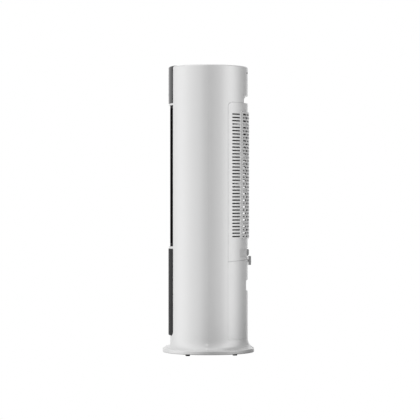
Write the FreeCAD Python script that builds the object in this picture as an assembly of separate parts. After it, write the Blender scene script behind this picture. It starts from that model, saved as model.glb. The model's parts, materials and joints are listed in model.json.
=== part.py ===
import FreeCAD, Part
import math
import os

# Tower air purifier with a water drawer. Millimetres, +Z up, front faces -Y, back faces +Y.
# Origin: centre of the footprint, on the floor.

V = FreeCAD.Vector

# ---- driving dimensions -------------------------------------------------------------------
HEIGHT = 1090.0           # floor to top edge
BODY_R = 150.0            # white body
WALL = 3.0                # moulded wall
BASE_R = 174.2            # rim of the flared base
FLARE = [(150.0, 61.0), (150.9, 52.5), (153.0, 45.5), (156.2, 39.0), (160.4, 33.0),
         (165.6, 28.2), (170.6, 24.6)]   # radius and height down the flare
RIM_TOP = 21.0            # top of the rim's upright edge
RIM_LOW = 9.0             # underside of the rim
RIM_CHAMFER = 2.0
EDGE_R = 5.0              # rounding of the top edge
SPLIT = 0.03              # half the gap between the two shells

STRIP_W = 69.0            # half width of the dark strip down the front
STRIP_GAP = 0.5
STRIP_R = 151.8           # face of the window and lower panel
DISPLAY_Z = 951.0         # bottom of the display window
OUTLET_Z = (410.0, 943.5)
OUTLET_R = 145.0          # face of the recessed outlet frame
PANEL_Z = (73.4, 401.0)   # lower front panel
PANEL_CORNER = 17.0       # bottom corners of the panel
CHANNEL_Z = 31.0          # the strip's channel runs down to the flare
CHANNEL_R = 145.6         # floor of the channel below the panel

COVER_W = 130.0           # half width of the rear opening
COVER_Z = (351.0, 951.3)
COVER_GAP = 0.8
DRAWER_GAP = 0.35         # at the sides and foot of the drawer front
PANEL_R = 13.0            # rounded top corners of the cover and of the drawer front
SEAM_AT = (100.0, 356.0)   # the seam below the cover passes this Y and Z
SEAM_TILT = 4.2           # degrees; the seam rises to the rear
SEAM_GAP = 1.0
DRAWER_Z = (62.6, 362.0)

SLOT_ROWS = 38
SLOT_TOP = 906.8          # centre height of the highest row
SLOT_PITCH = 12.395
SIDE_SLOT_DEG = 45.3      # from the rear, middle of each side slot
SIDE_SLOT_L = 42.4
SIDE_SLOT_H = 5.2
LATTICE_DEG = 34.2        # half width of the lattice, seen from the axis
WINDOW_DEG = 33.0         # half width of the cover's window behind it
LATTICE_R = 155.0
LATTICE_Z = (440.0, 917.0)
LATTICE_SLOT_H = 6.2
LATTICE_STEP = 13.6       # degrees from slot to slot; every second row is half a step over
LATTICE_RIB = 2.8         # degrees left between two slots

RECESS_FLOOR = [(91.6, 118.8), (28.0, 145.6)]   # X and Y along half of the tab recess's floor
RECESS_T = 2.6
RECESS_Z = (369.8, 401.7)
TAB_X = 24.0
TAB_Z = (373.4, 398.6)
TAB_R = 154.6
TAB_FIT = 0.6             # gap round the tab

SENSE_DEG = 11.0          # air sampling slots, from the rear
SENSE_Z = 1066.0
SENSE_L = 28.0
SENSE_H = 6.0

KNOB_Z = 355.7            # turn latch, centred on the seam
KNOB_L = 34.2
KNOB_W = 13.0
KNOB_Y = (152.2, 162.4)
NOTCH_X = 8.6
NOTCH_Z = (337.0, 374.4)

SCOOP_Z = (240.0, 283.5)
SCOOP_Y = 144.7
HANDLE_Z = (952.0, 983.0)
HANDLE_Y = 134.3

FAN_Y = -30.0
FAN_R = 54.0
FAN_Z = (420.0, 928.0)

VANE_X = [-49.0, -35.0, -21.0, -7.0, 7.0, 21.0, 35.0, 49.0]
VANE_Z = (421.6, 932.4)
VANE_T = 2.0
VANE_NOSE = 10.0
NOSE_R = 145.3            # the vanes' front edges lie on this radius
VANE_TAIL = 12.0
PIN_R = 2.0
PIN_GAP = 0.1
LINK_Z = (903.0, 907.0)
LINK_ARM = 8.0            # pivot to link pin
DRIVE_VANE = 3            # index of the vane on the swing motor's shaft

FEET = [(-98.5, -77.0), (98.5, -77.0), (-75.0, 100.0), (75.0, 100.0)]
FOOT_R = 8.5
TRAY_Z = (10.2, 13.4)      # base plate
INLET_Z = 26.0            # middle of the mains inlet

os.makedirs("parts", exist_ok=True)


# ---- helpers ------------------------------------------------------------------------------
def save(shape, name):
    shape = shape.removeSplitter()
    solids = shape.Solids
    if len(solids) == 1:
        shape = solids[0]
    else:
        shape = Part.makeCompound(solids)
    shape.exportStep("parts/" + name + ".step")


def box(x0, x1, y0, y1, z0, z1):
    return Part.makeBox(x1 - x0, y1 - y0, z1 - z0, V(x0, y0, z0))


def cyl(r, x, y, z0, z1):
    return Part.makeCylinder(r, z1 - z0, V(x, y, z0))


def cyl_x(r, y, z, x0, x1):
    return Part.makeCylinder(r, x1 - x0, V(x0, y, z), V(1, 0, 0))


def cyl_y(r, x, z, y0, y1):
    return Part.makeCylinder(r, y1 - y0, V(x, y0, z), V(0, 1, 0))


def ring(r0, r1, z0, z1):
    return cyl(r1, 0, 0, z0, z1).cut(cyl(r0, 0, 0, z0 - 1, z1 + 1))


def fuse(items):
    items = list(items)
    if len(items) == 1:
        return items[0]
    return items[0].multiFuse(items[1:])


def cut(shape, tools):
    return shape.cut(Part.makeCompound(list(tools)))


def turn(shape, deg):
    # degrees about the tower's axis, positive from the rear towards +X
    out = shape.copy()
    out.rotate(V(0, 0, 0), V(0, 0, 1), -deg)
    return out


def plate_xz(x0, x1, z0, z1, y0, y1, r_low=0.0, r_high=0.0):
    # rectangle in X and Z with rounded corners, extruded along Y
    p = []
    q = 1 - math.sqrt(0.5)
    corners = [(x0, z0, 1, 1, r_low), (x1, z0, -1, 1, r_low),
               (x1, z1, -1, -1, r_high), (x0, z1, 1, -1, r_high)]
    for i, (x, z, sx, sz, r) in enumerate(corners):
        first = (x, z + sz * r) if i in (0, 2) else (x + sx * r, z)
        last = (x + sx * r, z) if i in (0, 2) else (x, z + sz * r)
        mid = (x + sx * r * q, z + sz * r * q)
        p.append((first, mid, last, r))
    edges = []
    for i in range(4):
        first, mid, last, r = p[i]
        if r > 0:
            arc = Part.Arc(V(first[0], y0, first[1]), V(mid[0], y0, mid[1]), V(last[0], y0, last[1]))
            edges.append(arc.toShape())
        nxt = p[(i + 1) % 4][0]
        edges.append(Part.makeLine(V(last[0], y0, last[1]), V(nxt[0], y0, nxt[1])))
    return Part.Face(Part.Wire(edges)).extrude(V(0, y1 - y0, 0))


def chord(deg):
    # length across the lattice between two directions deg apart
    return 2.0 * LATTICE_R * math.sin(math.radians(deg / 2.0))


def slot_tool(deg, z, length, height, r0, r1):
    # rounded slot through the wall, pointing out from the axis
    h = height / 2.0
    a = length / 2.0 - h
    e1 = Part.makeLine(V(-a, r0, z - h), V(a, r0, z - h))
    e2 = Part.Arc(V(a, r0, z - h), V(a + h, r0, z), V(a, r0, z + h)).toShape()
    e3 = Part.makeLine(V(a, r0, z + h), V(-a, r0, z + h))
    e4 = Part.Arc(V(-a, r0, z + h), V(-a - h, r0, z), V(-a, r0, z - h)).toShape()
    tool = Part.Face(Part.Wire([e1, e2, e3, e4])).extrude(V(0, r1 - r0, 0))
    return turn(tool, deg)


def strut(a, b, r):
    d = b.sub(a)
    return Part.makeCylinder(r, d.Length, a, d)


def route(points, bend):
    # straight runs joined by tangent arcs of radius bend
    pts = [V(*p) for p in points]
    edges = []
    last = pts[0]
    for i in range(1, len(pts) - 1):
        u = pts[i - 1].sub(pts[i]).normalize()
        w = pts[i + 1].sub(pts[i]).normalize()
        half = u.getAngle(w) / 2.0
        back = bend / math.tan(half)
        start, end = pts[i].add(u * back), pts[i].add(w * back)
        middle = pts[i].add(u.add(w).normalize() * (bend / math.sin(half) - bend))
        edges.append(Part.makeLine(last, start))
        edges.append(Part.Arc(start, middle, end).toShape())
        last = end
    edges.append(Part.makeLine(last, pts[-1]))
    return Part.Wire(edges)


def pipe(points, r, hole=0.0, bend=12.0):
    path = route(points, bend)
    first, second = V(*points[0]), V(*points[1])
    solid = path.makePipeShell([Part.Wire(Part.makeCircle(r, first, second.sub(first)))], True, False)
    if hole:
        inner = path.makePipeShell([Part.Wire(Part.makeCircle(hole, first, second.sub(first)))], True, False)
        solid = solid.cut(inner)
    return solid


def wall(points, t, z0, z1):
    # upright wall of thickness t along a polyline in plan
    parts = []
    for i in range(len(points) - 1):
        (ax, ay), (bx, by) = points[i], points[i + 1]
        length = math.hypot(bx - ax, by - ay)
        seg = box(0, length, -t / 2.0, t / 2.0, z0, z1)
        seg.rotate(V(0, 0, 0), V(0, 0, 1), math.degrees(math.atan2(by - ay, bx - ax)))
        seg.translate(V(ax, ay, 0))
        parts.append(seg)
        if i:
            parts.append(cyl(t / 2.0, ax, ay, z0, z1))
    return fuse(parts)


def body_profile(inset, top):
    # closed outline of the body of revolution, set in from the outer face by inset
    r_body = BODY_R - inset
    r_rim = BASE_R - inset
    pts = [V(r - inset, 0, z - inset * 0.6) for r, z in FLARE]
    last = pts[-1]
    curve = Part.BSplineCurve()
    curve.interpolate(pts)
    edges = [Part.makeLine(V(0, 0, top), V(r_body - EDGE_R, 0, top)),
             Part.Arc(V(r_body - EDGE_R, 0, top), V(r_body - EDGE_R * 0.293, 0, top - EDGE_R * 0.293),
                      V(r_body, 0, top - EDGE_R)).toShape(),
             Part.makeLine(V(r_body, 0, top - EDGE_R), pts[0]),
             curve.toShape(),
             Part.Arc(last, V((last.x + r_rim) / 2 + 0.6, 0, (last.z + RIM_TOP) / 2 + 0.6),
                      V(r_rim, 0, RIM_TOP)).toShape(),
             Part.makeLine(V(r_rim, 0, RIM_TOP), V(r_rim, 0, RIM_LOW + RIM_CHAMFER)),
             Part.makeLine(V(r_rim, 0, RIM_LOW + RIM_CHAMFER), V(r_rim - RIM_CHAMFER, 0, RIM_LOW)),
             Part.makeLine(V(r_rim - RIM_CHAMFER, 0, RIM_LOW), V(0, 0, RIM_LOW)),
             Part.makeLine(V(0, 0, RIM_LOW), V(0, 0, top))]
    return Part.Face(Part.Wire(edges)).revolve(V(0, 0, 0), V(0, 0, 1), 360)


OUTER = body_profile(0.0, HEIGHT)
INNER = body_profile(WALL, HEIGHT - WALL)
SKIN = OUTER.cut(INNER.fuse(cyl(BASE_R - WALL - 2.0, 0, 0, RIM_LOW - 1.0, RIM_LOW + 6.0)))


def strip_prism(z0, z1, gap=0.0, r_low=0.0, r_high=0.0):
    w = STRIP_W - gap
    return plate_xz(-w, w, z0, z1, -200, -60, r_low, r_high)


def below_seam(lift):
    # everything lower than the tilted seam raised by lift
    y, z = SEAM_AT
    b = box(-200.0, 200.0, -250.0, 250.0, -700.0, 0.0)
    b.rotate(V(0, 0, 0), V(1, 0, 0), SEAM_TILT)
    b.translate(V(0, y, z + lift))
    return b


def arc_block(r0, r1, x0, x1, z0, z1, side):
    # piece of a ring cut off at two X values; side -1 is the front, 1 the rear
    y0, y1 = (0.5, 200.0) if side > 0 else (-200.0, -0.5)
    return ring(r0, r1, z0, z1).common(box(x0, x1, y0, y1, z0 - 1, z1 + 1))


def screw(x, y, z, r_head, r_shank, length, up):
    # pan-head screw with a cross recess; up is 1 when the head is on top
    head = cyl(r_head, x, y, z, z + 2.2)
    cross = [box(x - r_head * 0.6, x + r_head * 0.6, y - 0.5, y + 0.5, z + 1.2, z + 3.0),
             box(x - 0.5, x + 0.5, y - r_head * 0.6, y + r_head * 0.6, z + 1.2, z + 3.0)]
    s = cut(head, cross).fuse(cyl(r_shank, x, y, z - length, z))
    if up < 0:
        s.rotate(V(x, y, z), V(1, 0, 0), 180)
    return s


DECK_LUGS = [20.0, 160.0, 190.0, 350.0, 225.0, 315.0]
BASE_LUGS = [45.0, 135.0, 225.0, 315.0]


def polar(r, deg):
    return r * math.cos(math.radians(deg)), r * math.sin(math.radians(deg))


def shell_bosses(angles_deck, angles_base):
    out = []
    for a in angles_deck:
        for z0, z1 in ((338.0, 351.8), (928.0, 938.8)):
            x, y = polar(142.0, a)
            lug = cyl(6.0, x, y, z0, z1)
            x2, y2 = polar(148.0, a)
            web = strut(V(x, y, (z0 + z1) / 2), V(x2, y2, (z0 + z1) / 2), 4.0)
            out.append(lug.fuse(web).common(OUTER).cut(cyl(1.7, x, y, z0 - 1, z1 + 1)))
    for a in angles_base:
        x, y = polar(153.0, a)
        out.append(cyl(6.0, x, y, TRAY_Z[1] + 0.2, 44.0).common(OUTER).cut(cyl(1.7, x, y, 9.0, 30.0)))
    return out


# ---- base ---------------------------------------------------------------------------------
def rubber_feet():
    feet = []
    for x, y in FEET:
        f = cyl(FOOT_R, x, y, 0.0, TRAY_Z[0] + 1.8)
        f = f.makeFillet(1.2, [e for e in f.Edges if e.BoundBox.ZMax < 0.1])
        feet.append(f)
    save(Part.makeCompound(feet), "rubber_feet")


def base_tray():
    z0, z1 = TRAY_Z
    tray = cyl(BASE_R - WALL - 2.4, 0, 0, z0, z1)
    tray = tray.fuse(ring(124.0, 127.0, z1, 62.0))
    ribs = []
    for a in (0, 45, 90, 135):
        rib = box(-126.0, 126.0, -1.25, 1.25, z1, 40.0)
        rib.rotate(V(0, 0, 0), V(0, 0, 1), a)
        ribs.append(rib)
    tray = fuse([tray] + ribs)
    tools = [cyl(FOOT_R + 0.2, x, y, 4.0, z0 + 1.8) for x, y in FEET]
    for a in BASE_LUGS:
        x, y = polar(153.0, a)
        tools.append(cyl(2.0, x, y, 4.0, z1 + 2.0))
        tools.append(cyl(4.4, x, y, 4.0, z1 - 0.8))
    # the ribs are open in the middle
    tools.append(box(-60.0, 60.0, -60.0, 60.0, z1 + 3.6, 41.0))
    save(cut(tray, tools), "base_tray")


def base_screws():
    out = []
    for a in BASE_LUGS:
        x, y = polar(153.0, a)
        out.append(screw(x, y, TRAY_Z[1] - 0.8, 3.9, 1.65, 14.0, -1))
    save(Part.makeCompound(out), "base_screws")


def power_inlet():
    z = INLET_Z
    body = box(-13.0, 13.0, 128.5, 150.0, z - 10.0, z + 10.0)
    socket = plate_xz(-9.0, 9.0, z - 5.5, z + 5.5, 134.0, 151.0, 5.4, 5.4)
    body = body.cut(socket)
    pins = [cyl_y(1.2, x, z, 130.0, 147.0) for x in (-4.2, 4.2)]
    tabs = [box(x - 2.4, x + 2.4, 127.5, 128.6, z - 0.6, z + 0.6) for x in (-6.0, 6.0)]
    save(fuse([body] + pins + tabs), "power_inlet")


# ---- white body ---------------------------------------------------------------------------
def front_shell():
    s = SKIN.common(box(-200, 200, -200, -SPLIT, 0, HEIGHT + 10))
    s = s.cut(strip_prism(CHANNEL_Z, HEIGHT + 20).cut(cyl(CHANNEL_R - 1.0, 0, 0, 0, PANEL_Z[0])))
    s = s.cut(cyl(138.5, 0, 0, HEIGHT - 8, HEIGHT + 8))
    back = arc_block(144.8, 147.6, -STRIP_W - 4, STRIP_W + 4, PANEL_Z[0] + 3.0, PANEL_Z[1] + 1, -1)
    apron = arc_block(142.6, CHANNEL_R, -STRIP_W - 4, STRIP_W + 4, CHANNEL_Z - 2, PANEL_Z[0] + 6.0, -1)
    ledge = arc_block(142.6, 168.0, -STRIP_W - 4, STRIP_W + 4, CHANNEL_Z - 3.0, CHANNEL_Z, -1).common(OUTER)
    corners = arc_block(144.8, BODY_R, -STRIP_W - 0.1, STRIP_W + 0.1, PANEL_Z[0] - 0.5, PANEL_Z[0] + 20.0, -1)
    corners = corners.cut(strip_prism(PANEL_Z[0] - 0.6, PANEL_Z[0] + 30.0, 0.0, PANEL_CORNER + 0.5))
    parts = [s, back, apron, ledge] + corners.Solids
    for z0, z1 in ((PANEL_Z[1] + 0.4, OUTLET_Z[0]), (OUTLET_Z[1], DISPLAY_Z - 0.4)):
        parts.append(arc_block(138.0, BODY_R, -STRIP_W - 0.1, STRIP_W + 0.1, z0, z1, -1))
    for side in (-1, 1):
        x0, x1 = sorted((side * STRIP_W, side * (STRIP_W + 3.0)))
        parts.append(arc_block(139.2, 148.5, x0, x1, OUTLET_Z[0] - 8, HEIGHT - 6.0, -1))
        x0, x1 = sorted((side * (STRIP_W - 6.0), side * (STRIP_W + 0.5)))
        parts.append(arc_block(144.6, 147.8, x0, x1, DISPLAY_Z - 1, 1083.0, -1))
    parts.append(arc_block(139.0, 145.0, -STRIP_W - 1, STRIP_W + 1, 1082.0, 1087.6, -1))
    parts += shell_bosses([190.0, 350.0, 225.0, 315.0], [225.0, 315.0])
    shell = fuse(parts)
    save(shell, "front_shell")


def rear_shell():
    s = SKIN.common(box(-200, 200, SPLIT, 200, 0, HEIGHT + 10))
    opening = plate_xz(-COVER_W - COVER_GAP, COVER_W + COVER_GAP, DRAWER_Z[0] - DRAWER_GAP, HANDLE_Z[0],
                       40, 200, 4.0, PANEL_R)
    s = s.cut(opening)
    s = s.cut(cyl(138.5, 0, 0, HEIGHT - 8, HEIGHT + 8))
    s = s.cut(plate_xz(-90, 90, HANDLE_Z[0] - 1, HANDLE_Z[1], HANDLE_Y - 4.0, 200, 0, 0))
    parts = [s]
    # jambs behind both edges of the rear opening, and a sill below it
    for side in (-1, 1):
        x0, x1 = sorted((side * (COVER_W + 1.0), side * (COVER_W + 4.0)))
        parts.append(box(x0, x1, 56.0, 70.0, 64.0, 950.0).common(OUTER))
    parts.append(arc_block(138.0, 148.0, -110, 110, 57.5, 61.0, 1))
    parts += shell_bosses([20.0, 160.0], [45.0, 135.0])
    shell = fuse(parts)
    tools = [slot_tool(d, SENSE_Z, SENSE_L, SENSE_H, 135.0, 158.0) for d in (-SENSE_DEG, SENSE_DEG)]
    z = INLET_Z
    tools.append(plate_xz(-13.4, 13.4, z - 10.4, z + 10.4, 128.0, 200.0, 1.5, 1.5))
    tools.append(plate_xz(-17.0, 17.0, z - 13.0, z + 14.0, 150.1, 200.0, 3.0, 3.0))
    shell = cut(shell, tools)
    save(shell, "rear_shell")


def top_cap():
    cap = cyl(138.0, 0, 0, HEIGHT - 3.4, HEIGHT)
    cap = cap.fuse(ring(131.0, 134.0, HEIGHT - 12.0, HEIGHT - 3.4))
    pocket = strip_prism(HEIGHT - 1.9, HEIGHT + 3).common(ring(99.6, 160.0, HEIGHT - 4, HEIGHT + 4))
    cap = cap.cut(pocket)
    cap = cap.cut(strip_prism(HEIGHT - 20, HEIGHT - 3.6))
    save(cap, "top_cap")


def handle_pocket():
    z0, z1 = HANDLE_Z
    rim = box(-66.4, 66.4, 128.5, HANDLE_Y, z0, z1 + 4.0)
    roof = plate_xz(-80, 80, z1 - 2.6, z1 - 0.1, 128.5, 160.0)
    lip = roof.common(cyl(BODY_R, 0, 0, 940, 1000)).cut(box(-90, 90, 100, 130.5, 940, 1000))
    cup = plate_xz(-52.0, 52.0, z0, 996.0, 102.0, 130.0, 4.0, 8.0)
    body = rim.common(cyl(146.9, 0, 0, 940, 1000)).fuse(cup).fuse(lip)
    for side in (-1, 1):
        slope = Part.makePolygon([V(0, HANDLE_Y - 1.0, z1 - 13.5), V(0, HANDLE_Y + 8.0, z1 - 1.5),
                                  V(0, HANDLE_Y - 1.0, z1 - 1.5), V(0, HANDLE_Y - 1.0, z1 - 13.5)])
        gusset = Part.Face(slope).extrude(V(8.0, 0, 0))
        gusset.translate(V(side * 56.0 - 4.0, 0, 0))
        body = body.fuse(gusset)
    mouth = plate_xz(-49.0, 49.0, z0 + 3.0, z1 - 2.6, 105.0, 140.0, 3.0, 3.0)
    hook = plate_xz(-49.0, 49.0, z0 + 3.0, 993.0, 105.0, 127.0, 3.0, 6.0)
    save(body.cut(mouth.fuse(hook)), "handle_pocket")


# ---- front strip --------------------------------------------------------------------------
def display_window():
    r, z = STRIP_R, HEIGHT + 1.6
    t = 3.2
    e = 6.0
    pts = [V(r, 0, DISPLAY_Z + 0.4), V(r, 0, z - e), V(r - e, 0, z), V(100.4, 0, z),
           V(100.4, 0, z - t), V(r - e, 0, z - t), V(r - t, 0, z - e), V(r - t, 0, DISPLAY_Z + 0.4)]
    q = 0.293
    edges = [Part.makeLine(pts[0], pts[1]),
             Part.Arc(pts[1], V(r - e * q, 0, z - e * q), pts[2]).toShape(),
             Part.makeLine(pts[2], pts[3]), Part.makeLine(pts[3], pts[4]), Part.makeLine(pts[4], pts[5]),
             Part.Arc(pts[5], V(r - t - (e - t) * q, 0, z - t - (e - t) * q), pts[6]).toShape(),
             Part.makeLine(pts[6], pts[7]), Part.makeLine(pts[7], pts[0])]
    w = Part.Face(Part.Wire(edges)).revolve(V(0, 0, 0), V(0, 0, 1), 90)
    w.rotate(V(0, 0, 0), V(0, 0, 1), -135)
    w = w.common(plate_xz(-STRIP_W + STRIP_GAP, STRIP_W - STRIP_GAP, DISPLAY_Z, HEIGHT + 9, -200, -60, 3, 0))
    save(w, "display_window")


def display_board():
    board = box(-46.0, 46.0, -126.6, -125.0, 968.0, 1074.0)
    bits = [box(-24.0 + 17.0 * k, -11.0 + 17.0 * k, -131.6, -126.6, 1022.0, 1044.0) for k in range(3)]
    bits += [cyl_y(3.0, -30.0 + 15.0 * k, 990.0, -132.6, -126.6) for k in range(5)]
    bits += [box(-34.0 + 17.0 * k, -30.0 + 17.0 * k, -128.4, -126.6, 1008.0, 1011.0) for k in range(5)]
    bits += [box(-30.0, 30.0, -125.0, -119.0, 976.0, 986.0), box(-12.0, 12.0, -125.0, -122.0, 1030.0, 1054.0)]
    bits += [box(x - 4.0, x + 4.0, -125.0, -112.0, 947.2, 984.0) for x in (-40.0, 40.0)]
    save(fuse([board] + bits), "display_board")


def lower_front_panel():
    r, t, e = STRIP_R, 3.6, 3.0
    z0, z1 = PANEL_Z
    q = e * 0.293
    edges = [Part.makeLine(V(r - t, 0, z0), V(r - t, 0, z1)), Part.makeLine(V(r - t, 0, z1), V(r, 0, z1)),
             Part.makeLine(V(r, 0, z1), V(r, 0, z0 + e)),
             Part.Arc(V(r, 0, z0 + e), V(r - q, 0, z0 + q), V(r - e, 0, z0)).toShape(),
             Part.makeLine(V(r - e, 0, z0), V(r - t, 0, z0))]
    p = Part.Face(Part.Wire(edges)).revolve(V(0, 0, 0), V(0, 0, 1), 90)
    p.rotate(V(0, 0, 0), V(0, 0, 1), -135)
    save(p.common(strip_prism(z0 - 0.01, z1, STRIP_GAP, PANEL_CORNER, 2.0)), "lower_front_panel")


def vane_pivot(i):
    x = VANE_X[i]
    return x, -(math.sqrt(NOSE_R ** 2 - x ** 2) - VANE_NOSE)


def outlet_frame():
    z0, z1 = OUTLET_Z[0] + 0.4, OUTLET_Z[1] - 0.4
    face = arc_block(OUTLET_R - 3.5, OUTLET_R, -80, 80, z0, z1, -1).common(strip_prism(z0, z1, 0.4))
    face = face.cut(plate_xz(-56.5, 56.5, 421.0, 933.0, -200, -90, 2.0, 2.0))
    parts = [face]
    for side in (-1, 1):
        x0, x1 = sorted((side * 57.2, side * 59.8))
        parts.append(box(x0, x1, -140.0, -108.0, 417.8, 936.4).common(cyl(143.0, 0, 0, 400, 950)))
    for p0, p1 in ((417.8, 421.0), (933.0, 936.4)):
        parts.append(box(-59.8, 59.8, -145.0, -108.0, p0, p1).common(cyl(143.5, 0, 0, 400, 950)))
    frame = fuse(parts)
    tools = []
    for i in range(len(VANE_X)):
        x, y = vane_pivot(i)
        tools.append(cyl(PIN_R + PIN_GAP, x, y, 410.0, 945.0))
    tools.append(plate_xz(-56.5, 56.5, 421.0, 933.0, -200, -139.5, 2.0, 2.0))
    save(cut(frame, tools), "outlet_frame")


def vane(i):
    x, y = vane_pivot(i)
    h = VANE_T / 2.0
    blade = box(x - h, x + h, y - VANE_NOSE, y + VANE_TAIL, VANE_Z[0], VANE_Z[1])
    edges = [e for e in blade.Edges if abs(e.BoundBox.ZLength) > 400]
    blade = blade.makeFillet(0.8, edges)
    notch = box(x - 3, x + 3, y + 2.6, y + VANE_TAIL + 1, LINK_Z[0] - 4.0, LINK_Z[1] + 4.0)
    blade = blade.cut(notch)
    pins = [cyl(PIN_R, x, y, 418.2, VANE_Z[0] + 0.2), cyl(PIN_R, x, y, VANE_Z[1] - 0.2, 936.2),
            cyl(3.4, x, y, VANE_Z[0], VANE_Z[0] + 5.0), cyl(3.4, x, y, VANE_Z[1] - 5.0, VANE_Z[1]),
            cyl(1.5, x, y + LINK_ARM, LINK_Z[0] - 5.0, LINK_Z[1] + 5.0)]
    save(fuse([blade] + pins), "vane_" + str(i + 1))


def vane_link_bar():
    bar = []
    pts = [(vane_pivot(i)[0], vane_pivot(i)[1] + LINK_ARM) for i in range(len(VANE_X))]
    bar.append(wall(pts, 5.6, LINK_Z[0], LINK_Z[1]))
    bar += [cyl(2.8, x, y, LINK_Z[0], LINK_Z[1]) for x, y in pts]
    tools = [cyl(1.5 + 0.35, x, y, LINK_Z[0] - 1, LINK_Z[1] + 1) for x, y in pts]
    save(cut(fuse(bar), tools), "vane_link_bar")


def swing_shaft():
    x, y = vane_pivot(DRIVE_VANE)
    s = cyl(2.2, x, y, 936.5, 959.0).fuse(cyl(1.6, x, y, 936.2, 936.6))
    s = s.cut(box(x - 3, x + 3, y + 1.4, y + 3, 952.0, 960.0))
    save(s, "swing_shaft")


def swing_motor():
    x, y = vane_pivot(DRIVE_VANE)
    can = cyl(12.6, x, y + 8.6, 951.0, 966.0)
    ears = box(x - 21.0, x + 21.0, y + 4.5, y + 11.5, 950.0, 952.0)
    ears = ears.fuse(cyl(3.5, x - 21.0, y + 8.0, 950.0, 952.0)).fuse(cyl(3.5, x + 21.0, y + 8.0, 950.0, 952.0))
    block = box(x - 7.5, x + 7.5, y + 16.0, y + 25.0, 952.0, 964.0)
    m = fuse([can, ears, block]).cut(cyl(2.26, x, y, 940.0, 960.0))
    save(m, "swing_motor")


# ---- rear cover and filters ---------------------------------------------------------------
def recess_prism(back, z0, z1):
    # everything to the rear of the recess's floor, moved in by back
    (xa, ya), (xb, yb) = RECESS_FLOOR
    half = [(xa + back, 200.0), (xa + back, ya - back), (xb, yb - back)]
    outline = [V(x, y, z0) for x, y in half] + [V(-x, y, z0) for x, y in half[::-1]]
    outline.append(outline[0])
    return Part.Face(Part.makePolygon(outline)).extrude(V(0, 0, z1 - z0))


def rear_cover():
    w = COVER_W
    c = ring(BODY_R - WALL, BODY_R, COVER_Z[0], COVER_Z[1])
    c = c.common(plate_xz(-w, w, COVER_Z[0], COVER_Z[1], 20, 200, 3.0, PANEL_R))
    c = c.cut(below_seam(SEAM_GAP / 2.0))
    # shallow recess round the tab; its floor is flat in three parts, behind the skin
    z0, z1 = RECESS_Z
    cup = recess_prism(RECESS_T, z0 - RECESS_T, z1 + RECESS_T).common(cyl(BODY_R - 1.0, 0, 0, z0 - 9, z1 + 9))
    c = c.fuse(cup).cut(recess_prism(0.0, z0, z1))
    # every second slot is a hair shorter, so that their ends do not line up exactly
    tools = [slot_tool(side * SIDE_SLOT_DEG, SLOT_TOP - SLOT_PITCH * k, SIDE_SLOT_L - 0.12 * (k % 2),
                       SIDE_SLOT_H, 130, 165)
             for side in (-1, 1) for k in range(SLOT_ROWS)]
    win = BODY_R * math.sin(math.radians(WINDOW_DEG))
    tools.append(plate_xz(-win, win, LATTICE_Z[0] + 2, LATTICE_Z[1] - 2, 100, 170, 5.0, 5.0))
    tools.append(plate_xz(-NOTCH_X, NOTCH_X, NOTCH_Z[0] - 20, TAB_Z[0], 100, 170))
    tools.append(plate_xz(-TAB_X - TAB_FIT, TAB_X + TAB_FIT, TAB_Z[0] - TAB_FIT, TAB_Z[1] + TAB_FIT, 100, 170))
    c = cut(c, tools)
    # two ribs that carry the filter cassette
    ribs = [box(s * 90.6 - 1.2, s * 90.6 + 1.2, 96.0, 122.0, z, z + 14.0).common(cyl(148.0, 0, 0, 300, 1000))
            for s in (-1, 1) for z in (424.0, 640.0, 860.0)]
    c = fuse([c] + ribs)
    save(c, "rear_cover")


def intake_lattice():
    z0, z1 = LATTICE_Z
    edge = LATTICE_R * math.sin(math.radians(LATTICE_DEG))
    skin = ring(BODY_R + 0.2, LATTICE_R, z0, z1).common(plate_xz(-edge, edge, z0, z1, 80, 200, 6.0, 6.0))
    tools = []
    step = LATTICE_STEP
    full = chord(step - LATTICE_RIB)
    last = 2.5 * step - LATTICE_RIB / 2.0      # outer end of the longest row
    first = 2.0 * step + LATTICE_RIB / 2.0     # inner end of the short slots
    for k in range(SLOT_ROWS):
        z = SLOT_TOP - SLOT_PITCH * k
        if k % 2 == 0:
            places = [(d * step, full) for d in (-2, -1, 0, 1, 2)]
        else:
            places = [(d * step, full) for d in (-1.5, -0.5, 0.5, 1.5)]
            places += [(s * (first + last) / 2.0, chord(last - first)) for s in (-1, 1)]
        tools += [slot_tool(d, z, length, LATTICE_SLOT_H, 140, 165) for d, length in places]
    skin = cut(skin, tools)
    win = BODY_R * math.sin(math.radians(WINDOW_DEG)) - 0.4
    plug = ring(146.6, BODY_R + 0.3, z0 + 2.4, z1 - 2.4)
    plug = plug.common(plate_xz(-win, win, z0 + 2.4, z1 - 2.4, 80, 200, 4.6, 4.6))
    plug = plug.cut(plate_xz(-win + 1.6, win - 1.6, z0 + 5.0, z1 - 5.0, 80, 200, 3.0, 3.0))
    ribs = []
    for k in (3, 13, 23, 33):
        z = SLOT_TOP - SLOT_PITCH * k
        ribs.append(ring(146.6, BODY_R + 0.3, z - 2.0, z + 2.0).common(box(-win, win, 80, 200, 300, 1000)))
    for d in (-step, 0.0, step):
        ribs.append(turn(box(-0.9, 0.9, 147.2, BODY_R + 0.3, z0 + 3, z1 - 3), d))
    save(fuse([skin, plug] + ribs), "intake_lattice")


def release_tab():
    z0, z1 = TAB_Z
    r, back = TAB_R, 141.0
    outline = [V(back, 0, z0), V(r - 4.0, 0, z0), V(r, 0, z0 + 6.0), V(r, 0, z1 - 2.0), V(r - 1.6, 0, z1),
               V(back, 0, z1), V(back, 0, z0)]
    t = Part.Face(Part.makePolygon(outline)).revolve(V(0, 0, 0), V(0, 0, 1), 360)
    t = t.common(box(-TAB_X, TAB_X, 80.0, 200.0, z0 - 1, z1 + 1))
    stem = box(-15.0, 15.0, 124.0, 145.0, 380.0, 390.0)
    head = box(-20.0, 20.0, 121.0, 124.5, 378.6, 394.0)
    save(fuse([t, stem, head]), "release_tab")


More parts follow.
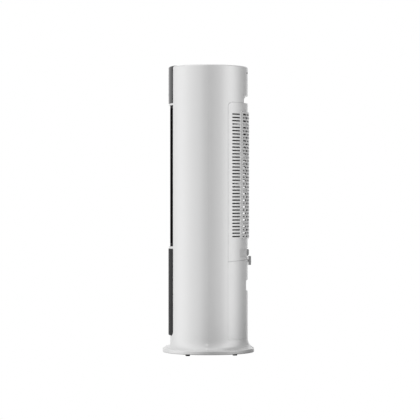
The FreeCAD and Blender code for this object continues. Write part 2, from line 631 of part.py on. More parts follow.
def filter_frame():
    f = box(-88.0, 88.0, 82.0, 96.0, 405.0, 930.0).fuse(box(-86.6, 86.6, 95.0, 100.8, 406.4, 928.6))
    f = f.cut(box(-85.0, 85.0, 80.0, 102.0, 408.0, 927.0))
    bars = [box(-85.5, 85.5, 99.6, 100.8, z, z + 4.0) for z in (510.0, 650.0, 790.0)]
    save(fuse([f] + bars), "filter_frame")


def hepa_filter():
    n = 20
    pitch = 169.0 / n
    t = 0.9
    upper = []
    lower = []
    for k in range(2 * n + 1):
        x = -84.5 + pitch * k / 2.0
        y = 83.5 if k % 2 == 0 else 94.0
        upper.append(V(x, y + t, 408.6))
        lower.append(V(x, y - t + 0.2, 408.6))
    pts = upper + lower[::-1] + [upper[0]]
    pleats = Part.Face(Part.makePolygon(pts)).extrude(V(0, 0, 517.6))
    save(pleats, "hepa_filter")


def carbon_filter():
    slab = box(-84.6, 84.6, 95.4, 99.4, 408.4, 926.6)
    tools = [box(-80.0 + 20.2 * c, -63.0 + 20.2 * c, 95, 100, 413.0 + 30.2 * r, 437.0 + 30.2 * r)
             for c in range(8) for r in range(17)]
    save(cut(slab, tools), "carbon_filter")


def prefilter_mesh():
    rim = box(-88.0, 88.0, 96.2, 117.6, 405.0, 930.0).cut(box(-84.0, 84.0, 95, 120, 409.0, 926.0))
    rim = rim.cut(box(-86.8, 86.8, 95.0, 101.0, 406.2, 928.8))
    bars = [box(-82.0 + 9.1 * k - 0.5, -82.0 + 9.1 * k + 0.5, 104.5, 105.5, 408.5, 926.5) for k in range(1, 18)]
    cross = [box(-84.5, 84.5, 104.5, 105.5, 411.4 + 15.0 * k - 0.5, 411.4 + 15.0 * k + 0.5) for k in range(34)]
    save(fuse([rim] + bars + cross), "prefilter_mesh")


def filter_seal():
    s = box(-88.0, 88.0, 78.2, 82.0, 405.0, 930.0).cut(box(-82.0, 82.0, 70, 90, 411.0, 924.0))
    save(s, "filter_seal")


# ---- air duct -----------------------------------------------------------------------------
def filter_bulkhead():
    b = box(-124.0, 124.0, 74.0, 77.8, 362.0, 938.8).common(cyl(146.4, 0, 0, 300, 1000))
    b = b.cut(box(-80.0, 80.0, 70, 80, 411.0, 926.0))
    feet = [box(s * 100 - 12, s * 100 + 12, 58.0, 75.0, 359.2, 362.5) for s in (-1, 1)]
    ties = [box(s * 100 - 1.5, s * 100 + 1.5, 58.0, 75.0, 362.0, 380.0) for s in (-1, 1)]
    save(fuse([b] + feet + ties), "filter_bulkhead")


def deck_plate(z0, z1):
    d = cyl(138.6, 0, 0, z0, z1)
    lugs = []
    for a in DECK_LUGS:
        x, y = polar(141.0, a)
        lugs.append(cyl(5.6, x, y, z0, z1).common(cyl(146.6, 0, 0, z0, z1)))
    d = fuse([d] + lugs)
    tools = []
    for a in DECK_LUGS:
        x, y = polar(142.0, a)
        tools.append(cyl(2.0, x, y, z0 - 1, z1 + 1))
    return cut(d, tools)


def lower_deck():
    d = deck_plate(352.0, 359.0)
    tools = [cyl(6.0, 112.0, 20.0, 350, 362), cyl(7.5, -60.0, 61.0, 350, 362),
             box(-7.6, 7.6, 132.0, 150.0, 350, 362), box(-122, -100, -40, -10, 350, 362),
             cyl(8.0, 0, FAN_Y, 350, 362)]
    for sx in (-1, 1):
        for sy in (-1, 1):
            tools.append(cyl(2.2, sx * 32.0, FAN_Y + sy * 32.0, 350, 362))
    d = cut(d, tools)
    rim = ring(134.4, 137.4, 359.0, 364.0).cut(box(-150, 150, 50, 150, 350, 370))
    save(d.fuse(rim), "lower_deck")


def upper_deck():
    d = deck_plate(939.0, 942.5)
    x, y = vane_pivot(DRIVE_VANE)
    tools = [cyl(4.0, x, y, 930, 950), cyl(12.1, 0, FAN_Y, 930, 950), cyl(6.0, 112.0, 20.0, 930, 950),
             box(-122, -100, -40, -10, 930, 950)]
    d = cut(d, tools)
    seat = ring_at(12.1, 16.0, 0, FAN_Y, 936.0, 950.0)
    pads = [cyl(3.4, x + s * 21.0, y + 8.0, 942.5, 950.0) for s in (-1, 1)]
    posts = [cyl(3.2, px, py, 942.5, 960.0) for px in (-50.0, 50.0) for py in (-4.0, 76.0)]
    front = [box(s * 40.0 - 4.0, s * 40.0 + 4.0, -125.0, -112.0, 942.5, 947.2) for s in (-1, 1)]
    save(fuse([d, seat] + pads + posts + front), "upper_deck")


def ring_at(r0, r1, x, y, z0, z1):
    return cyl(r1, x, y, z0, z1).cut(cyl(r0, x, y, z0 - 1, z1 + 1))


def deck_screws():
    out = []
    for a in DECK_LUGS:
        x, y = polar(142.0, a)
        out.append(screw(x, y, 359.0, 3.6, 1.6, 14.0, 1))
        out.append(screw(x, y, 942.5, 3.6, 1.6, 10.0, 1))
    save(Part.makeCompound(out), "deck_screws")


def scroll_housing():
    left = wall([(-84.0, 49.0), (-70.0, 22.0), (-61.0, -4.0), (-60.0, -30.0), (-59.0, -106.0)], 2.4, 413.0, 936.0)
    right = wall([(84.0, 49.0), (79.0, 12.0), (74.0, -30.0), (68.0, -64.0), (59.0, -106.0)], 2.4, 413.0, 936.0)
    outline = [V(-85, 50, 0), V(85, 50, 0), V(80, 12, 0), V(75, -30, 0), V(69, -64, 0), V(60, -107, 0),
               V(-60, -107, 0), V(-61, -30, 0), V(-62, -4, 0), V(-71, 22, 0), V(-85, 50, 0)]
    face = Part.Face(Part.makePolygon(outline))
    low = face.extrude(V(0, 0, 2.6))
    low.translate(V(0, 0, 410.4))
    high = face.extrude(V(0, 0, 2.6))
    high.translate(V(0, 0, 933.2))
    s = fuse([left, right, low, high])
    s = cut(s, [cyl(16.3, 0, FAN_Y, 400, 414), cyl(16.3, 0, FAN_Y, 930, 940)])
    legs = [cyl(4.0, px, py, 359.0, 410.6) for px, py in ((-66.0, 40.0), (66.0, 40.0), (-54.0, -98.0), (54.0, -98.0))]
    save(fuse([s] + legs), "scroll_housing")


def fan_wheel():
    z0, z1 = FAN_Z
    blades = []
    n = 30
    ri, ro, t = 44.0, FAN_R - 0.2, 1.3
    for k in range(n):
        a = V(ri, 0, z0 + 1)
        b = V(ro, 6.0, z0 + 1)
        m = V((ri + ro) / 2 + 1.5, 1.2, z0 + 1)
        a2, b2, m2 = V(ri, t, z0 + 1), V(ro - 0.9, 6.0 + t, z0 + 1), V((ri + ro) / 2 + 0.4, 1.2 + t, z0 + 1)
        e = [Part.Arc(a, m, b).toShape(), Part.makeLine(b, b2), Part.Arc(b2, m2, a2).toShape(), Part.makeLine(a2, a)]
        blade = Part.Face(Part.Wire(e)).extrude(V(0, 0, z1 - z0 - 2))
        blade.rotate(V(0, 0, 0), V(0, 0, 1), 360.0 * k / n)
        blade.translate(V(0, FAN_Y, 0))
        blades.append(blade)
    discs = [cyl(FAN_R + 0.5, 0, FAN_Y, z0, z0 + 2.2), cyl(FAN_R + 0.5, 0, FAN_Y, z1 - 2.2, z1)]
    for k in range(1, 5):
        z = z0 + (z1 - z0) * k / 5.0
        discs.append(ring_at(43.0, FAN_R + 0.5, 0, FAN_Y, z - 0.9, z + 0.9))
    hubs = [cyl(9.0, 0, FAN_Y, z0, z0 + 12.0), cyl(9.0, 0, FAN_Y, z1 - 12.0, z1)]
    wheel = fuse(blades + discs + hubs)
    save(wheel.cut(cyl(4.0, 0, FAN_Y, z0 - 5, z1 + 5)), "fan_wheel")


def fan_shaft():
    s = cyl(4.0, 0, FAN_Y, 366.0, 947.0)
    s = s.makeChamfer(0.6, [e for e in s.Edges if e.BoundBox.ZLength < 0.1])
    save(s, "fan_shaft")


def fan_motor():
    can = cyl(40.0, 0, FAN_Y, 368.0, 402.0)
    can = can.makeFillet(3.0, [e for e in can.Edges if e.BoundBox.ZLength < 0.1 and e.Length > 200])
    parts = [can, cyl(13.0, 0, FAN_Y, 402.0, 409.0)]
    for sx in (-1, 1):
        for sy in (-1, 1):
            parts.append(cyl(6.5, sx * 32.0, FAN_Y + sy * 32.0, 368.4, 371.4))
            arm = box(20.0, 45.0, -5.0, 5.0, 368.4, 371.4)
            arm.rotate(V(0, 0, 0), V(0, 0, 1), math.degrees(math.atan2(sy, sx)))
            arm.translate(V(0, FAN_Y, 0))
            parts.append(arm)
    m = fuse(parts)
    tools = [cyl(4.08, 0, FAN_Y, 360, 412)]
    tools += [cyl(2.4, sx * 32.0, FAN_Y + sy * 32.0, 366, 373) for sx in (-1, 1) for sy in (-1, 1)]
    save(cut(m, tools), "fan_motor")


def motor_mounts():
    out = []
    for sx in (-1, 1):
        for sy in (-1, 1):
            x, y = sx * 32.0, FAN_Y + sy * 32.0
            out.append(cyl(6.0, x, y, 359.0, 368.4).fuse(cyl(2.1, x, y, 352.5, 376.0)).fuse(cyl(4.0, x, y, 371.5, 375.0)))
    save(Part.makeCompound(out), "motor_mounts")


def top_bearing():
    b = ring_at(4.06, 12.0, 0, FAN_Y, 938.0, 946.0)
    save(b, "top_bearing")


# ---- electronics --------------------------------------------------------------------------
def main_board():
    b = box(-56.0, 56.0, -10.0, 82.0, 960.0, 961.6)
    bits = [box(-20, 4, 18, 42, 961.6, 964.0), box(20, 34, 30, 44, 961.6, 964.6), box(-50, -30, 60, 76, 961.6, 971.0),
            box(-46, -26, -6, 2, 961.6, 970.0), box(-18, 2, -6, 2, 961.6, 970.0), box(10, 40, -6, 2, 961.6, 970.0),
            cyl(5.0, 40, 62, 961.6, 976.0), cyl(5.0, 26, 64, 961.6, 976.0), box(-8, 10, 60, 74, 961.6, 968.0)]
    save(fuse([b] + bits), "main_board")


def dust_sensor():
    b = box(-33.0, 33.0, 114.0, 131.0, 1048.0, 1077.6)
    duct = box(-31.0, 31.0, 130.0, 140.5, 1062.0, 1076.0)
    hollow = box(-29.4, 29.4, 124.0, 146.0, 1064.0, 1074.0)
    tail = box(-12.0, 12.0, 108.0, 114.5, 1060.0, 1068.0)
    save(fuse([b, duct, tail]).cut(hollow), "dust_sensor")


def power_board():
    b = box(-44.0, 44.0, -60.0, -58.4, 118.0, 268.0)
    bits = [box(-40, -20, -84, -60, 128, 150), cyl_y(11.0, -6, 142, -90, -60), cyl_y(8.0, 18, 140, -82, -60),
            box(-30, 2, -88, -60, 168, 200), box(14, 38, -78, -60, 168, 208), box(-36, -16, -76, -60, 216, 244),
            cyl_y(6.5, 4, 230, -80, -60), cyl_y(6.5, 20, 230, -80, -60), box(-4, 30, -72, -60, 250, 260)]
    posts = [cyl_y(3.0, x, z, -58.4, -32.0) for x in (-38.0, 38.0) for z in (124.0, 262.0)]
    save(fuse([b] + bits + posts), "power_board")


def wiring_loom():
    up = [(-49.0, -66.0, 252.0), (-104.0, -62.0, 272.0), (-111.0, -25.0, 300.0), (-111.0, -25.0, 948.0),
          (-90.0, 0.0, 966.0), (-62.0, 6.2, 969.0), (-40.0, 6.2, 967.0)]
    save(pipe(up, 3.6, 0.0, 10.0), "wiring_loom")


# ---- water side ---------------------------------------------------------------------------
def wet_pad():
    p = box(-76.0, 76.0, 54.0, 70.0, 376.5, 914.0)
    tools = [box(-78, 78, 53.0, 54.6, 380.0 + 12.0 * k, 386.0 + 12.0 * k) for k in range(44)]
    save(cut(p, tools), "wet_pad")


def drip_tray():
    t = box(-84.0, 84.0, 50.4, 73.6, 370.0, 394.0).cut(box(-81.6, 81.6, 52.6, 71.6, 372.6, 400.0))
    spout = cyl(6.5, -60.0, 61.0, 344.0, 371.0).fuse(box(-64, -56, 50.4, 73.6, 359.2, 371))
    feet = [box(x - 6, x + 6, 52, 72, 359.2, 370.5) for x in (-40.0, 78.0, 30.0)]
    t = fuse([t, spout] + feet)
    save(t.cut(cyl(4.5, -60.0, 61.0, 340.0, 380.0)), "drip_tray")


def water_trough():
    t = box(-82.0, 82.0, 50.4, 73.6, 914.6, 932.0).cut(box(-79.6, 79.6, 52.6, 71.4, 917.0, 940.0))
    holes = [cyl(1.6, -72.0 + 12.0 * k, 62.0, 910.0, 920.0) for k in range(13)]
    ears = [box(s * 92.0 - 10.5, s * 92.0 + 10.5, 70.6, 73.9, 916.0, 930.0) for s in (-1, 1)]
    t = fuse([cut(t, holes)] + ears)
    save(t.cut(cyl_x(5.2, 62.0, 925.0, 70.0, 90.0)), "water_trough")


def riser_tube():
    path = [(23.0, -48.0, 96.0), (60.0, -48.0, 96.0), (104.0, -36.0, 112.0), (112.0, -6.0, 142.0), (112.0, 20.0, 180.0),
            (112.0, 20.0, 925.0), (104.0, 62.0, 925.0), (77.0, 62.0, 925.0)]
    save(pipe(path, 5.0, 3.4, 14.0), "riser_tube")


def pump_body():
    b = cyl_y(21.0, 0, 92.0, -56.0, -38.0)
    nose = cyl_y(10.0, 0, 92.0, -39.0, -32.4)
    volute = box(6.0, 30.0, -54.5, -41.5, 89.0, 103.0)
    motor = cyl_y(16.0, 0, 92.0, -80.0, -56.0)
    foot = box(-17.0, 17.0, -55.0, -40.0, 62.2, 80.0)
    p = fuse([b, nose, volute, motor, foot])
    tools = [cyl_y(16.0, 0, 92.0, -52.0, -41.0), cyl_y(6.0, 0, 92.0, -45.0, -30.0),
             cyl_x(3.6, -48.0, 96.0, 11.0, 24.0), cyl_x(5.05, -48.0, 96.0, 22.9, 34.0)]
    save(cut(p, tools), "pump_body")


def pump_impeller():
    hub = cyl_y(4.0, 0, 92.0, -51.0, -46.0)
    disc = cyl_y(14.6, 0, 92.0, -51.0, -49.4)
    vanes = []
    for k in range(6):
        v = box(3.0, 14.0, -49.6, -44.6, -0.7, 0.7)
        v.rotate(V(0, 0, 0), V(0, 1, 0), 60.0 * k)
        v.translate(V(0, 0, 92.0))
        vanes.append(v)
    save(fuse([hub, disc] + vanes), "pump_impeller")


def tank_bay():
    b = box(-89.6, 89.6, -32.0, 118.0, 62.2, 349.0).cut(box(-86.6, 86.6, -29.2, 150, 65.2, 360.0))
    b = b.common(cyl(146.0, 0, 0, 0, 400))
    lip = box(-89.6, 89.6, 117.0, 138.0, 62.2, 65.2).common(cyl(145.6, 0, 0, 0, 400))
    flange = [box(s * 93.0 - 5.0, s * 93.0 + 5.0, -30.0, 60.0, 346.0, 351.8) for s in (-1, 1)]
    shelf = box(-36.0, 36.0, -88.0, -30.0, 59.4, 62.2)
    hole = cyl_y(11.0, 0, 92.0, -40.0, -28.0)
    save(fuse([b, lip, shelf] + flange).cut(hole), "tank_bay")


TANK = (-84.0, 84.0, -26.0, 117.0, 66.0, 328.0)
FLOAT_X = -56.0
FLOAT_Y = 2.0


def tank_shell():
    x0, x1, y0, y1, z0, z1 = TANK
    t = box(x0, x1, y0, y1, z0, z1)
    t = t.makeFillet(14.0, [e for e in t.Edges if e.BoundBox.ZLength > 200])
    i = box(x0 + 2.6, x1 - 2.6, y0 + 2.6, y1 - 2.6, z0 + 3.0, z1 + 10)
    i = i.makeFillet(11.4, [e for e in i.Edges if e.BoundBox.ZLength > 200])
    spout = cyl_y(9.0, 0, 92.0, -28.6, -22.0)
    post = cyl(3.3, FLOAT_X, FLOAT_Y, z0 + 1.0, z1 - 8.0)
    t = t.cut(i).fuse(spout).fuse(post).cut(cyl_y(5.6, 0, 92.0, -30.0, -20.0))
    save(t, "tank_shell")


def tank_lid():
    x0, x1, y0, y1, z0, z1 = TANK
    lid = box(x0, x1, y0, y1, z1 + 0.1, z1 + 3.4)
    lid = lid.makeFillet(14.0, [e for e in lid.Edges if abs(e.BoundBox.ZLength - 3.3) < 0.05])
    skirt = box(x0 + 3.2, x1 - 3.2, y0 + 3.2, y1 - 3.2, z1 - 6.0, z1 + 1.0)
    skirt = skirt.makeFillet(10.8, [e for e in skirt.Edges if abs(e.BoundBox.ZLength - 7.0) < 0.05])
    core = box(x0 + 5.4, x1 - 5.4, y0 + 5.4, y1 - 5.4, z1 - 7.0, z1 + 0.5)
    core = core.makeFillet(8.6, [e for e in core.Edges if abs(e.BoundBox.ZLength - 7.5) < 0.05])
    skirt = skirt.cut(core)
    grip = ring_at(17.0, 22.0, 44.0, 20.0, z1 + 3.0, z1 + 9.0).fuse(box(26.0, 62.0, 18.4, 21.6, z1 + 3.0, z1 + 9.0))
    lid = fuse([lid, skirt, grip])
    tools = [cyl(10.0, -60.0, 61.0, z1 - 8, z1 + 8)]
    tools += [box(-40.0, 10.0, 70.0 + 8.0 * k, 73.0 + 8.0 * k, z1 - 1, z1 + 5) for k in range(4)]
    save(cut(lid, tools), "tank_lid")


def tank_float():
    f = cyl(15.0, FLOAT_X, FLOAT_Y, 69.6, 95.6)
    f = f.makeFillet(3.0, [e for e in f.Edges if e.BoundBox.ZLength < 0.1])
    save(f.cut(cyl(3.7, FLOAT_X, FLOAT_Y, 60.0, 120.0)), "tank_float")


def tank_front():
    z0, z1 = DRAWER_Z
    w = COVER_W + COVER_GAP - DRAWER_GAP
    f = ring(BODY_R - WALL, BODY_R, z0, z1).common(plate_xz(-w, w, z0, z1, 20, 200, 4.0, PANEL_R))
    f = f.common(below_seam(-SEAM_GAP / 2.0))
    tools = [plate_xz(-46.0, 46.0, SCOOP_Z[0], SCOOP_Z[1], 120.0, 170.0, 7.0, 7.0),
             plate_xz(-NOTCH_X, NOTCH_X, NOTCH_Z[0], 400.0, 120, 170, 3.0, 0.0)]
    save(cut(f, tools), "tank_front")


def drawer_cup():
    s0, s1 = SCOOP_Z
    dish = plate_xz(-48.0, 48.0, s0 - 3.0, s1 + 3.0, 138.6, SCOOP_Y, 6.0, 6.0)
    cup = plate_xz(-38.6, 38.6, s0 + 0.4, s1 - 0.4, 120.0, 140.0, 6.0, 6.0)
    lug = plate_xz(-49.0, 49.0, s0 - 3.6, s1 + 3.6, 132.6, 141.0, 6.0, 6.0)
    lug = lug.cut(plate_xz(-44.0, 44.0, s0, s1, 130.0, 150.0, 4.0, 4.0))
    c = fuse([dish, cup, lug]).common(cyl(BODY_R - WALL, 0, 0, 0, 400))
    save(c.cut(plate_xz(-36.0, 36.0, s0 + 3.0, s1 - 3.0, 124.0, 160.0, 5.0, 5.0)), "drawer_cup")


def drawer_bracket():
    ribs = [box(x - 1.4, x + 1.4, 117.3, 148.0, 74.0, 330.0).common(cyl(BODY_R - WALL, 0, 0, 0, 400))
            for x in (-70.0, -54.0, 54.0, 70.0)]
    pads = [box(-72.0, 72.0, 117.3, 120.0, z, z + 8.0) for z in (80.0, 196.0, 318.0)]
    pads.append(box(-20.0, 20.0, 117.3, 120.0, 196.0, 280.0))
    save(fuse(ribs + pads), "drawer_bracket")


# ---- turn latch on the seam ---------------------------------------------------------------
def latch_boss():
    plate = plate_xz(-NOTCH_X + 0.9, NOTCH_X - 0.9, NOTCH_Z[0] + 1.0, NOTCH_Z[1] - 1.0, 140.0, 144.0, 3.0, 3.0)
    stem = box(-7.2, 7.2, 132.4, 143.0, 352.2, 359.0)
    collar = cyl_y(5.6, 0, KNOB_Z, 136.0, KNOB_Y[0] - 0.4)
    b = fuse([plate, stem, collar]).cut(cyl_y(4.08, 0, KNOB_Z, 128.0, 155.0))
    save(b, "latch_boss")


def turn_latch():
    z, h = KNOB_Z, KNOB_L / 2.0
    bar = plate_xz(-KNOB_W / 2.0, KNOB_W / 2.0, z - h, z + h, KNOB_Y[0], KNOB_Y[1], 6.4, 6.4)
    edges = [e for e in bar.Edges if e.BoundBox.YMin > KNOB_Y[1] - 0.01]
    bar = bar.makeFillet(1.5, edges)
    shaft = cyl_y(4.0, 0, z, 133.0, KNOB_Y[0] + 1.0)
    save(bar.fuse(shaft), "turn_latch")


def build_all():
    rubber_feet()
    base_tray()
    base_screws()
    power_inlet()
    front_shell()
    rear_shell()
    top_cap()
    handle_pocket()
    display_window()
    display_board()
    lower_front_panel()
    outlet_frame()
    for i in range(len(VANE_X)):
        vane(i)
    vane_link_bar()
    swing_shaft()
    swing_motor()
    rear_cover()
    intake_lattice()
    release_tab()
    filter_frame()
    hepa_filter()
    carbon_filter()
    prefilter_mesh()
    filter_seal()
    filter_bulkhead()
    lower_deck()
    upper_deck()
    deck_screws()
    scroll_housing()
    fan_wheel()
    fan_shaft()
    fan_motor()
    motor_mounts()
    top_bearing()
    main_board()
    dust_sensor()
    power_board()
    wiring_loom()
    wet_pad()
    drip_tray()
    water_trough()
    riser_tube()
    pump_body()
    pump_impeller()
    tank_bay()
    tank_shell()
    tank_lid()
    tank_float()
    tank_front()
    drawer_cup()
    drawer_bracket()
    latch_boss()
    turn_latch()


build_all()
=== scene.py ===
import bpy
import bmesh
import json
import math
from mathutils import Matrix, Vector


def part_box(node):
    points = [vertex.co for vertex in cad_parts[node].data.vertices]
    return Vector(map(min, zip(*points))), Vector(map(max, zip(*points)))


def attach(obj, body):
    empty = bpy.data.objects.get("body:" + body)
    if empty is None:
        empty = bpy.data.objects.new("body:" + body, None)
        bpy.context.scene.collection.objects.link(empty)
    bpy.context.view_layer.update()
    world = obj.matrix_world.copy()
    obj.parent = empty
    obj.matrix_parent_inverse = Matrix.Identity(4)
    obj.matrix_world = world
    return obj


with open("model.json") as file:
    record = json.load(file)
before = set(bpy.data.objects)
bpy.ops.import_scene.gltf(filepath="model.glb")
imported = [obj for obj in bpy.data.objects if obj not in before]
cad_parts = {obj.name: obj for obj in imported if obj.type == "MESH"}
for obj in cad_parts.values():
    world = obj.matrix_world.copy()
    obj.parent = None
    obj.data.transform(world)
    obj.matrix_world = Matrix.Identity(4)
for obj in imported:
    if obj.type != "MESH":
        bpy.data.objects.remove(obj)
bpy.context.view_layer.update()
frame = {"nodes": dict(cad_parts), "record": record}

NODES = frame["nodes"]

MM = 0.001

# Driving sizes, in metres, read from the frame.
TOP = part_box("front_shell")[1][2]
WINDOW_R = -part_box("display_window")[0][1]
TANK_LOW, TANK_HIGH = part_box("tank_shell")
KNOB_LOW, KNOB_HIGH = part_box("turn_latch")
FRAME_LOW, FRAME_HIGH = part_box("prefilter_mesh")


# ---- materials ----------------------------------------------------------------------------
class Surface:
    """A Principled material with object-space procedural detail."""

    def __init__(self, name, color, rough, **sockets):
        self.mat = bpy.data.materials.new(name)
        self.mat.use_nodes = True
        self.tree = self.mat.node_tree
        self.shader = self.tree.nodes["Principled BSDF"]
        self.shader.inputs["Base Color"].default_value = (*color, 1.0)
        self.shader.inputs["Roughness"].default_value = rough
        for key, value in sockets.items():
            self.shader.inputs[key.replace("_", " ")].default_value = value
        self.coords = self.tree.nodes.new("ShaderNodeTexCoord").outputs["Object"]
        self.color = color
        self.rough = rough

    def add(self, kind, **settings):
        node = self.tree.nodes.new(kind)
        for key, value in settings.items():
            if key in node.inputs:
                node.inputs[key].default_value = value
            else:
                setattr(node, key, value)
        return node

    def link(self, a, b):
        self.tree.links.new(a, b)

    def stretched(self, scale):
        node = self.add("ShaderNodeMapping", Scale=scale)
        self.link(self.coords, node.inputs["Vector"])
        return node.outputs["Vector"]

    def noise(self, scale, detail=3.0, coords=None, roughness=0.5):
        node = self.add("ShaderNodeTexNoise", Scale=scale, Detail=detail, Roughness=roughness)
        self.link(coords or self.coords, node.inputs["Vector"])
        return node.outputs["Fac"]

    def span(self, value, low, high, start=0.0, end=1.0):
        node = self.add("ShaderNodeMapRange")
        for key, number in zip(("From Min", "From Max", "To Min", "To Max"), (start, end, low, high)):
            node.inputs[key].default_value = number
        self.link(value, node.inputs["Value"])
        return node.outputs["Result"]

    def tint(self, value, dark, light):
        ramp = self.add("ShaderNodeValToRGB")
        ramp.color_ramp.elements[0].position = 0.3
        ramp.color_ramp.elements[1].position = 0.7
        ramp.color_ramp.elements[0].color = (*dark, 1.0)
        ramp.color_ramp.elements[1].color = (*light, 1.0)
        self.link(value, ramp.inputs["Fac"])
        self.link(ramp.outputs["Color"], self.shader.inputs["Base Color"])

    def vary(self, amount, scale):
        dark = [c * (1.0 - amount) for c in self.color]
        light = [min(1.0, c * (1.0 + amount)) for c in self.color]
        self.tint(self.noise(scale), dark, light)
        return self

    def polish(self, amount, scale):
        low, high = max(0.02, self.rough - amount), min(1.0, self.rough + amount)
        self.link(self.span(self.noise(scale, 5.0), low, high, 0.3, 0.7), self.shader.inputs["Roughness"])
        return self

    def bump(self, height, strength, distance=0.001):
        node = self.add("ShaderNodeBump", Strength=strength, Distance=distance)
        self.link(height, node.inputs["Height"])
        self.link(node.outputs["Normal"], self.shader.inputs["Normal"])
        return self

    def grain(self, scale, strength):
        return self.bump(self.noise(scale, 2.0), strength, 0.0004)


def plastic(name, color, rough, vary=0.02, grain=0.05, grain_scale=2600.0, **sockets):
    s = Surface(name, color, rough, **sockets)
    s.vary(vary, 9.0).polish(0.05, 60.0).grain(grain_scale, grain)
    return s.mat


def brushed(name, color, rough, along):
    s = Surface(name, color, rough, Metallic=1.0)
    stretch = [900.0, 900.0, 900.0]
    stretch[along] = 12.0
    lines = s.noise(1.0, 4.0, s.stretched(stretch))
    s.tint(lines, [c * 0.85 for c in color], color)
    s.link(s.span(lines, rough - 0.08, rough + 0.1, 0.3, 0.7), s.shader.inputs["Roughness"])
    s.bump(lines, 0.08, 0.0002)
    return s.mat


def woven(name, color, pitch, rough=0.9):
    s = Surface(name, color, rough)
    across = s.add("ShaderNodeTexWave", Scale=1.0 / pitch / 2.0, Distortion=0.3, bands_direction="X")
    along = s.add("ShaderNodeTexWave", Scale=1.0 / pitch / 2.0, Distortion=0.3, bands_direction="Z")
    s.link(s.coords, across.inputs["Vector"])
    s.link(s.coords, along.inputs["Vector"])
    both = s.add("ShaderNodeMath", operation="MULTIPLY")
    s.link(across.outputs["Fac"], both.inputs[0])
    s.link(along.outputs["Fac"], both.inputs[1])
    s.tint(both.outputs["Value"], [c * 0.7 for c in color], color)
    s.bump(both.outputs["Value"], 0.5, 0.0006)
    return s.mat


def fibrous(name, color, scale, rough=0.95):
    s = Surface(name, color, rough)
    fibres = s.noise(scale, 8.0, s.stretched((1.0, 1.0, 3.0)), 0.7)
    s.tint(fibres, [c * 0.75 for c in color], color)
    s.bump(fibres, 0.6, 0.001)
    return s.mat


def granular(name, color, size):
    s = Surface(name, color, 0.8)
    cells = s.add("ShaderNodeTexVoronoi", Scale=1.0 / size)
    s.link(s.coords, cells.inputs["Vector"])
    s.tint(cells.outputs["Distance"], [c * 0.4 for c in color], [c * 1.8 for c in color])
    s.bump(cells.outputs["Distance"], 0.8, 0.001)
    return s.mat


def circuit(name, axis, level, thickness):
    # green laminate between the two faces of the board, dark parts beyond them
    s = Surface(name, (0.02, 0.13, 0.06), 0.35)
    split = s.add("ShaderNodeSeparateXYZ")
    s.link(s.coords, split.inputs["Vector"])
    off = s.add("ShaderNodeMath", operation="SUBTRACT")
    s.link(split.outputs[axis], off.inputs[0])
    off.inputs[1].default_value = level
    dist = s.add("ShaderNodeMath", operation="ABSOLUTE")
    s.link(off.outputs["Value"], dist.inputs[0])
    parts = s.add("ShaderNodeMath", operation="GREATER_THAN")
    s.link(dist.outputs["Value"], parts.inputs[0])
    parts.inputs[1].default_value = thickness / 2.0 + 0.0003
    tracks = s.add("ShaderNodeTexBrick", Scale=90.0)
    s.link(s.coords, tracks.inputs["Vector"])
    tracks.inputs["Color1"].default_value = (0.015, 0.12, 0.05, 1.0)
    tracks.inputs["Color2"].default_value = (0.02, 0.16, 0.07, 1.0)
    tracks.inputs["Mortar"].default_value = (0.03, 0.22, 0.1, 1.0)
    cells = s.add("ShaderNodeTexVoronoi", Scale=28.0)
    s.link(s.coords, cells.inputs["Vector"])
    bits = s.add("ShaderNodeValToRGB")
    bits.color_ramp.interpolation = "CONSTANT"
    ramp = bits.color_ramp.elements
    ramp[0].color = (0.012, 0.012, 0.014, 1.0)
    ramp[1].position = 0.6
    ramp[1].color = (0.02, 0.04, 0.16, 1.0)
    more = bits.color_ramp.elements.new(0.8)
    more.color = (0.7, 0.68, 0.6, 1.0)
    s.link(cells.outputs["Color"], bits.inputs["Fac"])
    mix = s.add("ShaderNodeMix", data_type="RGBA")
    s.link(parts.outputs["Value"], mix.inputs["Factor"])
    s.link(tracks.outputs["Color"], mix.inputs["A"])
    s.link(bits.outputs["Color"], mix.inputs["B"])
    s.link(mix.outputs["Result"], s.shader.inputs["Base Color"])
    return s.mat


